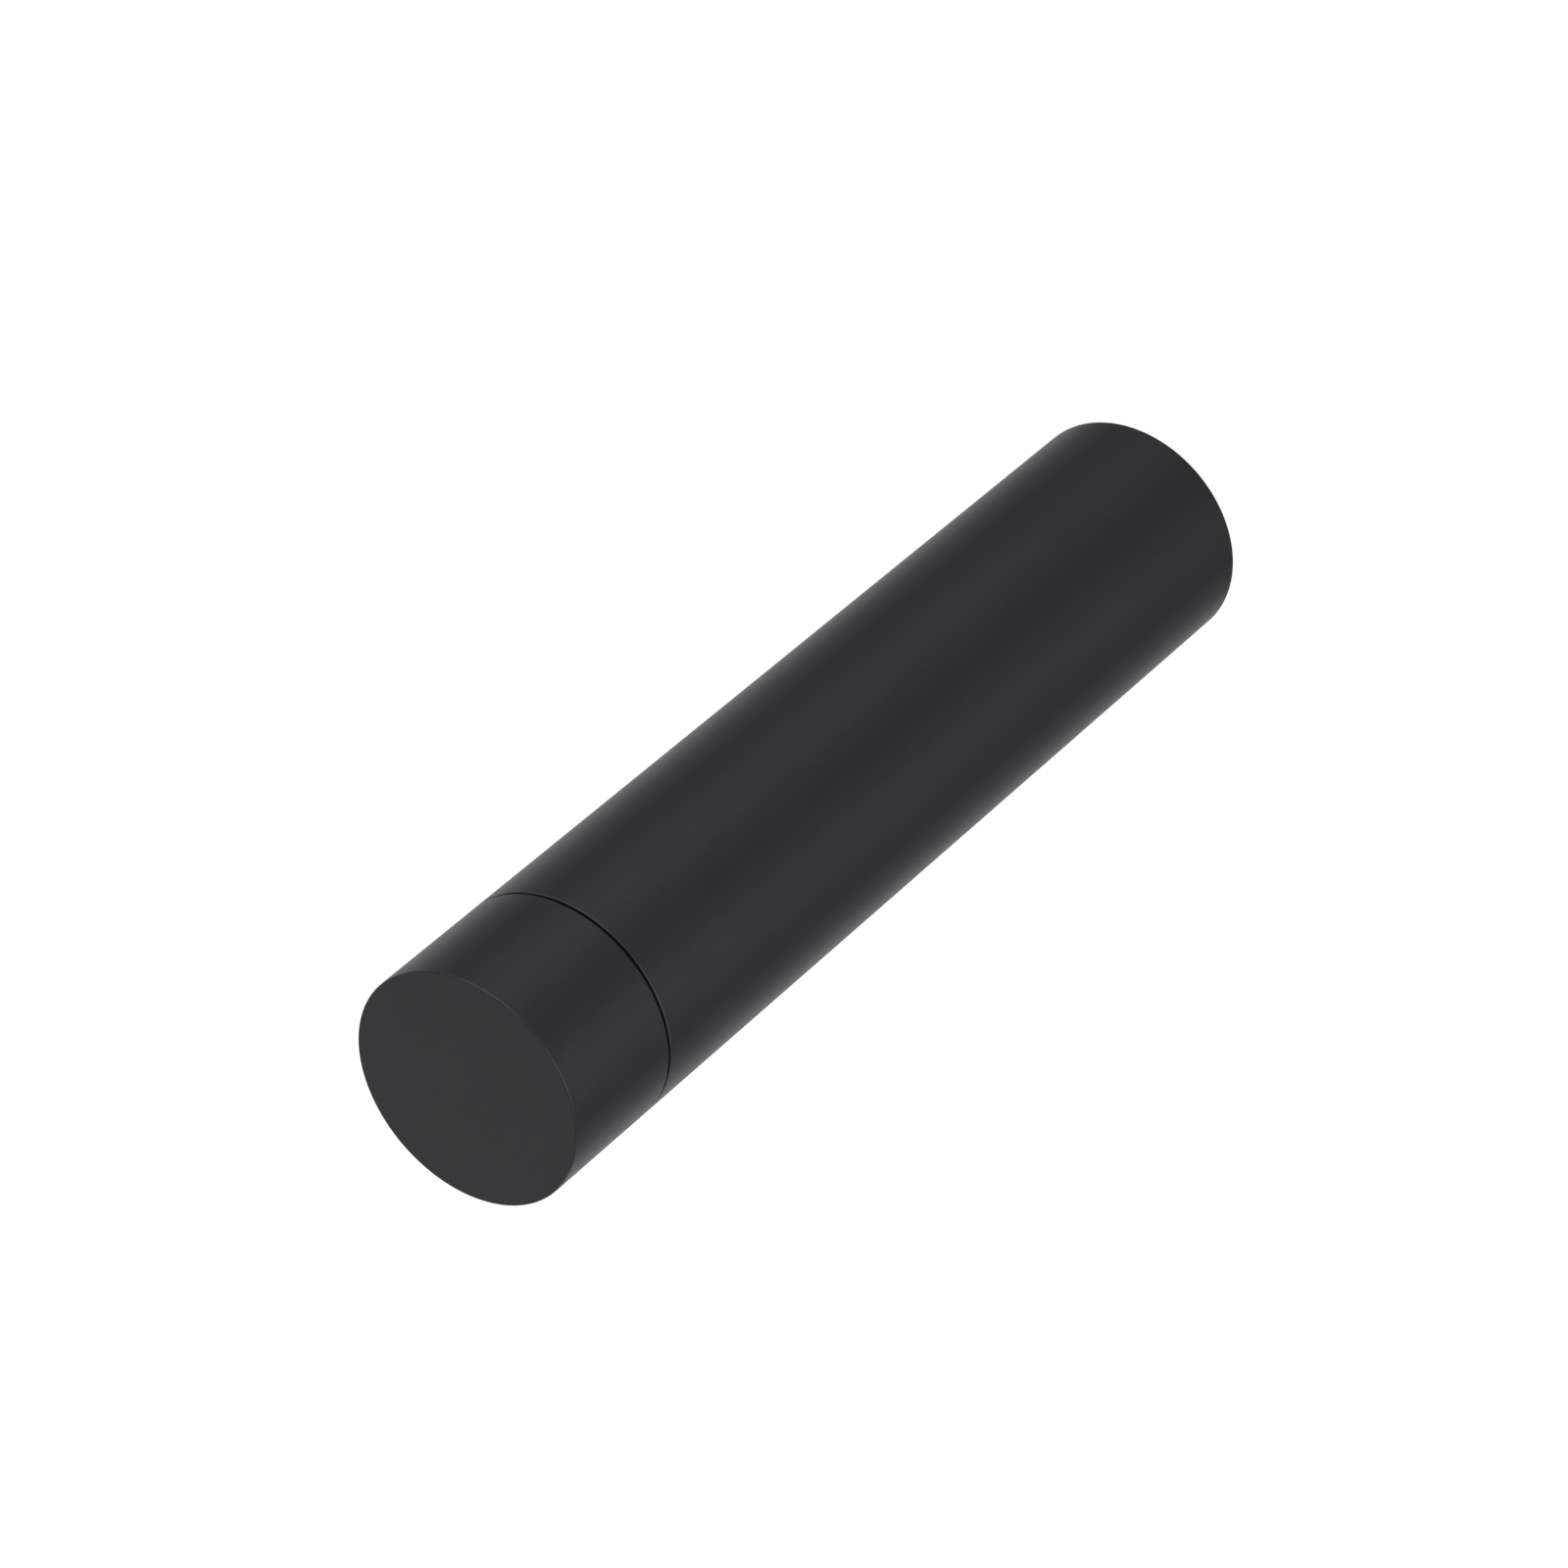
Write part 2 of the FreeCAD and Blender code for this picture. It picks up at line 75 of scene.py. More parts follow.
meshSetup = {
    "guardShare": 0.3,      # each rounding gets a guard ring this share of its radius beyond its ends
    "arcSteps": 8,          # faces along each rounding
    "around": 256,          # faces round a turned piece
    "turnedFold": 40,       # degrees, a turned piece's edges fold sharply past this
    "copiedFold": 30,
    "weld": 1e-7,           # m, corners of a copied mesh nearer than this are one
}


def roundedOutline(corners):
    # corners are (radius, height) in mm with an optional rounding. A rounding becomes a tangent arc: its
    # centre is on the bisector, at rounding / sin(half angle) from the corner, and it runs from one
    # tangent point to the other. The third column is 1 or -1 along an arc, for a left or a right turn,
    # and 0 elsewhere
    spots = [np.array(corner[:2], float) for corner in corners]
    points = []
    for number, corner in enumerate(corners):
        here = spots[number]
        if len(corner) < 3:
            points.append(np.append(here, 0)[None])
            continue
        back = spots[number - 1] - here
        ahead = spots[(number + 1) % len(spots)] - here
        back /= np.linalg.norm(back)
        ahead /= np.linalg.norm(ahead)
        halfAngle = math.acos(float(np.clip(back @ ahead, -1, 1))) / 2
        reach = corner[2] / math.tan(halfAngle)
        bisector = (back + ahead) / np.linalg.norm(back + ahead)
        centre = here + bisector * corner[2] / math.sin(halfAngle)
        start = here + back * reach - centre
        end = here + ahead * reach - centre
        sweep = math.pi - 2 * halfAngle
        share = np.linspace(0, 1, meshSetup["arcSteps"] + 1)[:, None]
        arc = centre + (np.sin((1 - share) * sweep) * start + np.sin(share * sweep) * end) / math.sin(sweep)
        turn = np.sign(back[1] * ahead[0] - back[0] * ahead[1])
        guard = corner[2] * meshSetup["guardShare"]
        points.append(np.append(here + back * (reach + guard), 0)[None])
        points.append(np.column_stack([arc, np.full(len(arc), turn)]))
        points.append(np.append(here + ahead * (reach + guard), 0)[None])
    return np.concatenate(points)


def gridFaces(rings, around, wrap):
    # quads between neighbouring rings, turned so that an outline running anticlockwise faces outwards
    ring = np.arange(rings if wrap else rings - 1)[:, None]
    step = np.arange(around)[None]
    nextRing = (ring + 1) % rings
    nextStep = (step + 1) % around
    near, far = ring * around, nextRing * around
    corners = (near + step, near + nextStep, far + nextStep, far + step)
    return np.stack([np.broadcast_to(c, (len(ring), around)) for c in corners], -1).reshape(-1, 4)


def meshFrom(name, verts, quads, tris, sharpAngle, edge=None):
    mesh = bpy.data.meshes.new(name)
    loops = np.concatenate([quads.ravel(), tris.ravel()])
    starts = np.concatenate([np.arange(len(quads)) * 4, len(quads) * 4 + np.arange(len(tris)) * 3])
    mesh.vertices.add(len(verts))
    mesh.vertices.foreach_set("co", np.asarray(verts, np.float32).ravel())
    mesh.loops.add(len(loops))
    mesh.loops.foreach_set("vertex_index", loops.astype(np.int32))
    mesh.polygons.add(len(starts))
    mesh.polygons.foreach_set("loop_start", starts.astype(np.int32))
    mesh.update(calc_edges=True)
    mesh.validate()
    mesh.shade_smooth()
    mesh.set_sharp_from_angle(angle=math.radians(sharpAngle))
    if edge is not None:
        mesh.attributes.new("edge", "FLOAT", "POINT").data.foreach_set("value", edge.astype(np.float32))
    piece = bpy.data.objects.new(name, mesh)
    bpy.context.scene.collection.objects.link(piece)
    return piece


def turnedGrid(name, outline, around, shape=None, lay=None):
    # a point of the surface is (r cos a, r sin a, z), with (r, z) along the outline and a the turn. Rows
    # on the axis become one pole each. shape takes the radius, height and turn arrays and gives new
    # radii. lay is a 4 by 4 matrix that turns and moves the finished grid. edge is 1 where the outline
    # rounds a corner outwards
    r, z, turn = outline.T
    area = (r * np.roll(z, -1) - np.roll(r, -1) * z).sum()
    if area < 0:
        r, z, turn = outline[::-1].T
    edge = (turn * np.sign(area) > 0).astype(float)
    onAxis = r < 1e-9
    if onAxis.any():
        first = int(np.flatnonzero(onAxis & ~np.roll(onAxis, -1))[0])
        r, z, edge = np.roll(r, -first), np.roll(z, -first), np.roll(edge, -first)
        last = int(np.flatnonzero(r[1:] < 1e-9)[0]) + 2
        r, z, edge = r[:last], z[:last], edge[:last]
    step = np.arange(around)
    radius, height, angle = np.broadcast_arrays(r[:, None], z[:, None], step[None] * 2 * math.pi / around)
    if shape:
        radius = shape(radius, height, angle)
    grid = np.stack([radius * np.cos(angle), radius * np.sin(angle), height], -1) * mm
    if onAxis.any():
        verts = np.concatenate([grid[1:-1].reshape(-1, 3), grid[[0, -1], 0]])
        quads = gridFaces(len(r) - 2, around, False)
        lastRing = (len(r) - 3) * around
        pole = np.full(around, len(verts) - 2)
        nextStep = (step + 1) % around
        tris = np.concatenate([
            np.stack([pole, nextStep, step], -1),
            np.stack([pole + 1, lastRing + step, lastRing + nextStep], -1)])
        edge = np.concatenate([np.repeat(edge[1:-1], around), edge[[0, -1]]])
    else:
        verts = grid.reshape(-1, 3)
        quads = gridFaces(len(r), around, True)
        tris = np.zeros((0, 3), int)
        edge = np.repeat(edge, around)
    if lay is not None:
        verts = verts @ np.array(lay.to_3x3()).T + np.array(lay.translation)
    return meshFrom(name, verts, quads, tris, meshSetup["turnedFold"], edge)


def turnedPiece(name, corners, shape=None, lay=None):
    return turnedGrid(name, roundedOutline(corners), meshSetup["around"], shape, lay)


def smoothedCopy(name, node):
    # the node's own triangles, with corners that share a place joined, slivers dropped and even shading
    source = frame["nodes"][node].data
    places = np.empty(len(source.vertices) * 3, np.float32)
    source.vertices.foreach_get("co", places)
    corners = np.empty(len(source.loops), np.int32)
    source.loops.foreach_get("vertex_index", corners)
    places = places.reshape(-1, 3)
    keys = np.round(places / meshSetup["weld"]).astype(np.int64)
    first, number = np.unique(keys, axis=0, return_index=True, return_inverse=True)[1:]
    tris = number.ravel()[corners].reshape(-1, 3)
    whole = (tris[:, 0] != tris[:, 1]) & (tris[:, 1] != tris[:, 2]) & (tris[:, 2] != tris[:, 0])
    piece = meshFrom(name, places[first], np.zeros((0, 4), int), tris[whole], meshSetup["copiedFold"])
    even = piece.modifiers.new("even shading", "WEIGHTED_NORMAL")
    even.keep_sharp = True
    return piece


def place(piece, node, material):
    # a finished piece stands for its node, wears its material and rides with the node's body
    piece.data.materials.append(material)
    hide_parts(node)
    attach(piece, bodyOfNode[node])
    print("placed", piece.name, "for", node, "with", len(piece.data.polygons), "faces")
    return piece


def span(node):
    # a node's largest radius and its lowest and highest point, in mm
    low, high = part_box(node)
    return high.x / mm, low.z / mm, high.z / mm


cameraSetup = {
    "lens": 149.8,              # mm on a 36 mm wide sensor
    "lookDown": 43.017,         # degrees below level
    "azimuth": 0.0,             # degrees, 0 looks along +Y
    "roll": -129.857,           # degrees, how far the tube's axis is turned from upright in the picture
    "distance": 48.1034,        # from the camera's plane to the middle of the cap's top, in tube radii
    "capRight": -2.3433,        # where the middle of the cap's top stands, in tube radii right of the middle
    "capUp": -2.2520,
}


def makeCamera(setup):
    # the camera's back axis comes from its azimuth and dip, its right and up axes are turned by the roll,
    # and its place is worked back from where the cap's top stands in front of it
    camera = bpy.data.objects.new("Camera", bpy.data.cameras.new("Camera"))
    bpy.context.scene.collection.objects.link(camera)
    bpy.context.scene.camera = camera
    camera.data.sensor_width = 36.0
    camera.data.lens = setup["lens"]
    side, down = math.radians(setup["azimuth"]), math.radians(setup["lookDown"])
    back = Vector((math.sin(side) * math.cos(down), -math.cos(side) * math.cos(down), math.sin(down)))
    level = Vector((0, 0, 1)).cross(back).normalized()
    upright = back.cross(level)
    roll = math.radians(setup["roll"])
    right = level * math.cos(roll) + upright * math.sin(roll)
    up = back.cross(right)
    stand = topCentre - tubeRadius * (
        right * setup["capRight"] + up * setup["capUp"] - back * setup["distance"])
    turned = Matrix((right, up, back)).transposed().to_4x4()
    camera.matrix_world = Matrix.Translation(stand) @ turned
    camera.data.clip_start = 0.05
    camera.data.clip_end = 20.0


makeCamera(cameraSetup)
print("camera placed, looking down by", cameraSetup["lookDown"], "degrees")


# nodes: one call makes a node, sets its properties, and sets or joins its inputs

def addNode(tree, kind, inputs=None, **settings):
    made = tree.nodes.new("ShaderNode" + kind)
    for key, value in settings.items():
        setattr(made, key, value)
    for socket, value in (inputs or {}).items():
        if isinstance(value, bpy.types.NodeSocket):
            tree.links.new(value, made.inputs[socket])
        else:
            made.inputs[socket].default_value = value
    return made


def mathNode(tree, operation, *values, clamp=False):
    return addNode(tree, "Math", dict(enumerate(values)), operation=operation, use_clamp=clamp).outputs[0]


def ramp(tree, value, low, high, toLow=0.0, toHigh=1.0):
    # a smooth step of a value between low and high
    made = addNode(tree, "MapRange", {"Value": value, "From Min": low, "From Max": high,
                                      "To Min": toLow, "To Max": toHigh}, interpolation_type="SMOOTHSTEP")
    return made.outputs["Result"]


def newGroup(name, inputs, outputs):
    tree = bpy.data.node_groups.new(name, "ShaderNodeTree")
    for label, value in inputs.items():
        tree.interface.new_socket(label, in_out="INPUT", socket_type="NodeSocketFloat").default_value = value
    for label in outputs:
        tree.interface.new_socket(label, in_out="OUTPUT", socket_type="NodeSocketFloat")
    entry = tree.nodes.new("NodeGroupInput")
    leave = tree.nodes.new("NodeGroupOutput")
    return tree, entry.outputs, leave.inputs


def scaledPlaces(tree, size):
    # object coordinates counted in steps of size mm
    places = addNode(tree, "TexCoord").outputs["Object"]
    perMetre = mathNode(tree, "DIVIDE", 1 / mm, size)
    return addNode(tree, "VectorMath", {0: places, "Scale": perMetre}, operation="SCALE").outputs["Vector"]


def grainGroup():
    # fine grain: two sizes of noise added up for the height, and the pits between them as a mask, which the
    # finishes use for rougher spots and for painted shade
    tree, entry, leave = newGroup("surfaceGrain", {"Size mm": 0.2}, ("Height", "Pits"))
    places = scaledPlaces(tree, entry["Size mm"])
    fine = addNode(tree, "TexNoise", {"Vector": places, "Scale": 1.0, "Detail": 3.0, "Roughness": 0.6})
    coarse = addNode(tree, "TexNoise", {"Vector": places, "Scale": 0.37, "Detail": 1.0})
    height = mathNode(tree, "MULTIPLY_ADD", coarse.outputs["Fac"], 0.5, fine.outputs["Fac"])
    tree.links.new(height, leave["Height"])
    tree.links.new(ramp(tree, height, 0.78, 0.58), leave["Pits"])
    return tree


def handlingGroup():
    # broad unevenness of colour, and smudges where hands have been
    tree, entry, leave = newGroup("handling", {"Size mm": 14.0}, ("Tone", "Smudge"))
    places = scaledPlaces(tree, entry["Size mm"])
    broad = addNode(tree, "TexNoise", {"Vector": places, "Scale": 1.0, "Detail": 4.0, "Roughness": 0.55})
    smear = addNode(tree, "TexNoise", {"Vector": places, "Scale": 2.3, "Detail": 3.0, "Distortion": 1.2})
    tree.links.new(ramp(tree, broad.outputs["Fac"], 0.3, 0.7), leave["Tone"])
    tree.links.new(ramp(tree, smear.outputs["Fac"], 0.5, 0.68), leave["Smudge"])
    return tree


def wearGroup():
    # wear on rounded edges: the piece's own edge attribute, broken up by noise
    tree, entry, leave = newGroup("edgeWear", {"Size mm": 3.0, "Amount": 0.5}, ("Mask",))
    places = scaledPlaces(tree, entry["Size mm"])
    breakUp = addNode(tree, "TexNoise", {"Vector": places, "Scale": 1.0, "Detail": 5.0, "Roughness": 0.65})
    edge = addNode(tree, "Attribute", attribute_name="edge").outputs["Fac"]
    patchy = mathNode(tree, "MULTIPLY", edge, ramp(tree, breakUp.outputs["Fac"], 0.38, 0.72))
    tree.links.new(mathNode(tree, "MULTIPLY", patchy, entry["Amount"], clamp=True), leave["Mask"])
    return tree


def hairlineGroup():
    # sparse hairline marks: the thin line where a stretched noise crosses its middle, kept only in patches
    tree, entry, leave = newGroup("hairlines", {"Size mm": 6.0, "Width": 0.004}, ("Mask",))
    places = scaledPlaces(tree, entry["Size mm"])
    marks = []
    for tilt in (0.5, 2.2):
        turned = addNode(tree, "Mapping", {"Vector": places, "Rotation": (0.4, tilt, 0.9 * tilt),
                                           "Scale": (1.0, 1.0, 0.12)}).outputs["Vector"]
        field = addNode(tree, "TexNoise", {"Vector": turned, "Scale": 1.0, "Detail": 1.0}).outputs["Fac"]
        offset = mathNode(tree, "ABSOLUTE", mathNode(tree, "SUBTRACT", field, 0.5))
        line = mathNode(tree, "SUBTRACT", 1.0, mathNode(tree, "DIVIDE", offset, entry["Width"]), clamp=True)
        patch = addNode(tree, "TexNoise", {"Vector": turned, "Scale": 1.7, "Detail": 0.0}).outputs["Fac"]
        marks.append(mathNode(tree, "MULTIPLY", line, ramp(tree, patch, 0.56, 0.66)))
    tree.links.new(mathNode(tree, "MAXIMUM", *marks), leave["Mask"])
    return tree


surfaceGrain, handling, edgeWear, hairlines = grainGroup(), handlingGroup(), wearGroup(), hairlineGroup()
print("node groups ready: grain, handling, edge wear, hairlines")


def useGroup(tree, group, **values):
    made = tree.nodes.new("ShaderNodeGroup")
    made.node_tree = group
    for label, value in values.items():
        made.inputs[label.replace("_", " ")].default_value = value
    return made.outputs


def mixColour(tree, factor, first, second):
    made = addNode(tree, "Mix", {0: factor, 6: first, 7: second}, data_type="RGBA")
    return made.outputs[2]


def scaledColour(colour, share):
    return tuple(min(1.0, channel * share) for channel in colour) + (1.0,)


def newFinish(name, look):
    # what all the finishes have: the colour drifts between a darker and a lighter tone, the colour is
    # darkened in the pits of the grain as painted shade, roughness rises in the pits of the grain and drops
    # or rises in smudges, and the grain is a bump of look["grainDepth"] mm
    material = bpy.data.materials.new(name)
    material.use_nodes = True
    tree = material.node_tree
    shader = tree.nodes["Principled BSDF"]
    shader.inputs["Metallic"].default_value = look.get("metallic", 0.0)
    shader.inputs["IOR"].default_value = look.get("ior", 1.5)
    grain = useGroup(tree, surfaceGrain, Size_mm=look["grainSize"])
    marks = useGroup(tree, handling, Size_mm=look.get("toneSize", 14.0))
    colour = mixColour(tree, marks["Tone"], scaledColour(look["colour"], 1 - look["tone"]),
                       scaledColour(look["colour"], 1 + look["tone"]))
    # painted shade: the colour darkens towards 0.35 of itself in the grain's pits, as far as look["pitShade"]
    # says
    colour = mixColour(tree, mathNode(tree, "MULTIPLY", grain["Pits"], look.get("pitShade", 0.15)), colour,
                       scaledColour(look["colour"], 0.35))
    rough = mathNode(tree, "MULTIPLY_ADD", marks["Smudge"], look.get("smudge", -0.03), look["roughness"])
    rough = mathNode(tree, "MULTIPLY_ADD", grain["Pits"], look.get("pitRough", 0.04), rough)
    depth = look["grainDepth"] * mm
    bump = addNode(tree, "Bump", {"Height": grain["Height"], "Strength": 1.0, "Distance": depth})
    return material, tree, shader, colour, rough, bump


def joinFinish(tree, shader, colour, rough, bump):
    tree.links.new(colour, shader.inputs["Base Color"])
    tree.links.new(rough, shader.inputs["Roughness"])
    tree.links.new(bump.outputs["Normal"], shader.inputs["Normal"])


anodisedLook = {
    "colour": (0.0200, 0.0198, 0.0214),
    "roughness": 0.325,
    "tone": 0.05,
    "grainSize": 0.16,          # mm
    "grainDepth": 0.0022,       # mm
    "smudge": -0.012,
    "pitRough": 0.02,
    "wornColour": (0.30, 0.30, 0.31),
    "wear": 0.12,
    "wearSize": 5.0,            # mm
    "hairline": 0.02,           # how far a hairline mark lowers the roughness
}


def anodised(look):
    # blasted and dyed oxide over aluminium: dark, nearly metal-free, with the bare metal showing on worn
    # edges
    material, tree, shader, colour, rough, bump = newFinish("blackAnodised", look)
    wear = useGroup(tree, edgeWear, Size_mm=look["wearSize"], Amount=look["wear"])["Mask"]
    lines = useGroup(tree, hairlines, Size_mm=9.0, Width=0.012)["Mask"]
    colour = mixColour(tree, wear, colour, scaledColour(look["wornColour"], 1))
    rough = mathNode(tree, "MULTIPLY_ADD", lines, -look["hairline"], rough)
    tree.links.new(wear, shader.inputs["Metallic"])
    joinFinish(tree, shader, colour, rough, bump)
    return material


mouldedLooks = {
    "blackMoulding": {"colour": (0.0105, 0.0105, 0.0112), "roughness": 0.42, "tone": 0.08, "grainSize": 0.30,
                      "grainDepth": 0.006, "edgeShine": 0.05},
    "satinButton": {"colour": (0.0190, 0.0190, 0.0205), "roughness": 0.36, "tone": 0.06, "grainSize": 0.22,
                    "grainDepth": 0.004, "edgeShine": 0.05},
    "softNozzle": {"colour": (0.030, 0.030, 0.032), "roughness": 0.34, "tone": 0.06, "grainSize": 0.18,
                   "grainDepth": 0.002, "edgeShine": 0.04},
    "milkyCartridge": {"colour": (0.78, 0.78, 0.765), "roughness": 0.38, "tone": 0.03, "grainSize": 0.35,
                       "grainDepth": 0.004, "glow": 0.25, "pitShade": 0.05},
    "naturalPump": {"colour": (0.72, 0.73, 0.72), "roughness": 0.33, "tone": 0.03, "grainSize": 0.25,
                    "grainDepth": 0.002, "glow": 0.30, "pitShade": 0.04},
    "whiteClosure": {"colour": (0.80, 0.80, 0.79), "roughness": 0.40, "tone": 0.03, "grainSize": 0.30,
                     "grainDepth": 0.005, "glow": 0.12, "pitShade": 0.05},
    "stemMoulding": {"colour": (0.66, 0.66, 0.64), "roughness": 0.30, "tone": 0.03, "grainSize": 0.20,
                     "grainDepth": 0.0015, "glow": 0.10, "pitShade": 0.04},
    "softPiston": {"colour": (0.76, 0.76, 0.74), "roughness": 0.36, "tone": 0.04, "grainSize": 0.28,
                   "grainDepth": 0.003, "glow": 0.35, "pitShade": 0.05},
    "clearSilicone": {"colour": (0.68, 0.69, 0.70), "roughness": 0.30, "tone": 0.04, "grainSize": 0.15,
                      "grainDepth": 0.001, "glow": 0.55, "pitShade": 0.02, "ior": 1.41},
}


def moulded(name, look):
    # moulded plastic: grain from the mould, faint flow lines along the piece, and rounded edges rubbed
    # smoother. Light plastics glow a little inside
    material, tree, shader, colour, rough, bump = newFinish(name, look)
    places = addNode(tree, "Mapping", {"Vector": addNode(tree, "TexCoord").outputs["Object"],
                                       "Scale": (260.0, 260.0, 45.0)}).outputs["Vector"]
    flow = addNode(tree, "TexNoise", {"Vector": places, "Scale": 1.0, "Detail": 3.0, "Distortion": 0.6})
    rough = mathNode(tree, "MULTIPLY_ADD", ramp(tree, flow.outputs["Fac"], 0.35, 0.7), 0.035, rough)
    if "edgeShine" in look:
        shine = useGroup(tree, edgeWear, Size_mm=2.0, Amount=1.0)["Mask"]
        rough = mathNode(tree, "MULTIPLY_ADD", shine, -look["edgeShine"], rough)
        shineShare = mathNode(tree, "MULTIPLY", shine, 0.25)
        colour = mixColour(tree, shineShare, colour, scaledColour(look["colour"], 3.0))
    if "glow" in look:
        shader.inputs["Subsurface Weight"].default_value = look["glow"]
        shader.inputs["Subsurface Radius"].default_value = (1.0, 0.9, 0.8)
        shader.inputs["Subsurface Scale"].default_value = 0.6 * mm
    joinFinish(tree, shader, colour, rough, bump)
    return material


steelLooks = {
    "drawnWire": {"colour": (0.56, 0.55, 0.53), "roughness": 0.26, "metallic": 1.0, "tone": 0.05,
                  "grainSize": 0.10, "grainDepth": 0.0008, "pitShade": 0.1, "lines": 0.10},
    "polishedBall": {"colour": (0.62, 0.61, 0.59), "roughness": 0.12, "metallic": 1.0, "tone": 0.03,
                     "grainSize": 0.12, "grainDepth": 0.0004, "pitShade": 0.08, "lines": 0.0},
}


def steel(name, look):
    # bare steel. Wire has drawing lines that run along it, a stretched noise on its own UV map
    material, tree, shader, colour, rough, bump = newFinish(name, look)
    if look["lines"]:
        along = addNode(tree, "UVMap", uv_map="wire").outputs["UV"]
        stretched = addNode(tree, "Mapping", {"Vector": along, "Scale": (40.0, 26.0, 1.0)}).outputs["Vector"]
        drawn = addNode(tree, "TexNoise", {"Vector": stretched, "Scale": 1.0, "Detail": 3.0}).outputs["Fac"]
        rough = mathNode(tree, "MULTIPLY_ADD", drawn, look["lines"], rough)
        drawnShare = ramp(tree, drawn, 0.55, 0.75, 0.0, 0.3)
        colour = mixColour(tree, drawnShare, colour, scaledColour(look["colour"], 0.6))
    else:
        rough = mathNode(tree, "MULTIPLY_ADD", useGroup(tree, hairlines, Size_mm=0.8)["Mask"], 0.15, rough)
    joinFinish(tree, shader, colour, rough, bump)
    return material


foamLook = {"colour": (0.74, 0.74, 0.72), "roughness": 0.62,
            "tone": 0.04, "grainSize": 0.12, "grainDepth": 0.004,
            "cellSize": 0.22, "cellDepth": 0.03}    # mm


def gasketFoam(look):
    # closed-cell foam: each cell is a shallow dome, its wall a lighter line
    material, tree, shader, colour, rough, bump = newFinish("gasketCells", look)
    places = scaledPlaces(tree, look["cellSize"])
    cells = addNode(tree, "TexVoronoi", {"Vector": places, "Scale": 1.0}, feature="DISTANCE_TO_EDGE")
    cells = cells.outputs["Distance"]
    wall = ramp(tree, cells, 0.12, 0.02)
    colour = mixColour(tree, wall, colour, scaledColour(look["colour"], 1.15))
    dome = addNode(tree, "Bump", {"Height": cells, "Strength": 1.0, "Distance": look["cellDepth"] * mm,
                                  "Normal": bump.outputs["Normal"]})
    joinFinish(tree, shader, colour, rough, dome)
    return material


creamLook = {"colour": (0.87, 0.87, 0.845), "roughness": 0.30,
             "tone": 0.02, "grainSize": 0.5, "grainDepth": 0.01,
             "pitShade": 0.03, "smudge": 0.06, "swirlSize": 3.5, "swirlDepth": 0.12}


def shavingCream(look):
    # thick white cream: smooth swirls, tiny bubbles as pits, soft light inside
    material, tree, shader, colour, rough, bump = newFinish("whiteCream", look)
    shader.inputs["Subsurface Weight"].default_value = 0.45
    shader.inputs["Subsurface Radius"].default_value = (1.0, 0.95, 0.85)
    shader.inputs["Subsurface Scale"].default_value = 1.5 * mm
    places = scaledPlaces(tree, look["swirlSize"])
    swirl = addNode(tree, "TexNoise", {"Vector": places, "Scale": 1.0, "Detail": 1.0, "Distortion": 2.5})
    swirl = swirl.outputs["Fac"]
    bubbles = addNode(tree, "TexVoronoi", {"Vector": places, "Scale": 7.0, "Randomness": 1.0})
    bubbles = bubbles.outputs["Distance"]
    height = mathNode(tree, "MULTIPLY_ADD", ramp(tree, bubbles, 0.0, 0.16), 0.3, swirl)
    soft = addNode(tree, "Bump", {"Height": height, "Strength": 1.0, "Distance": look["swirlDepth"] * mm,
                                  "Normal": bump.outputs["Normal"]})
    joinFinish(tree, shader, colour, rough, soft)
    return material


blackAnodised = anodised(anodisedLook)
plastics = {name: moulded(name, look) for name, look in mouldedLooks.items()}
drawnWire = steel("drawnWire", steelLooks["drawnWire"])
polishedBall = steel("polishedBall", steelLooks["polishedBall"])
gasketCells = gasketFoam(foamLook)
whiteCream = shavingCream(creamLook)
print("finishes ready:", 5 + len(plastics))


# plain soft studio light: a dim even base, a pair of large boxes in front and a pair behind, one box high
# behind for the top and one low behind for the paper's shine. Azimuth 0 is the camera's side and 90 is
# +X. The boxes of a pair are alike and stand at 45 degrees. The camera itself sees plain white behind the
# tube
tentBase = 0.05
boxSharpness = 8
boxTint = (1.00, 1.00, 1.05)
softBoxes = {
    "frontRight": {"azimuth": 45, "height": 0, "brightness": 2.5},
    "frontLeft": {"azimuth": -45, "height": 0, "brightness": 2.5},
    "backRight": {"azimuth": 135, "height": 0, "brightness": 1.5},
    "backLeft": {"azimuth": -135, "height": 0, "brightness": 1.5},
    "highBack": {"azimuth": 180, "height": 45, "brightness": 0.5},
    "lowBack": {"azimuth": 180, "height": -45, "brightness": 0.5},
}


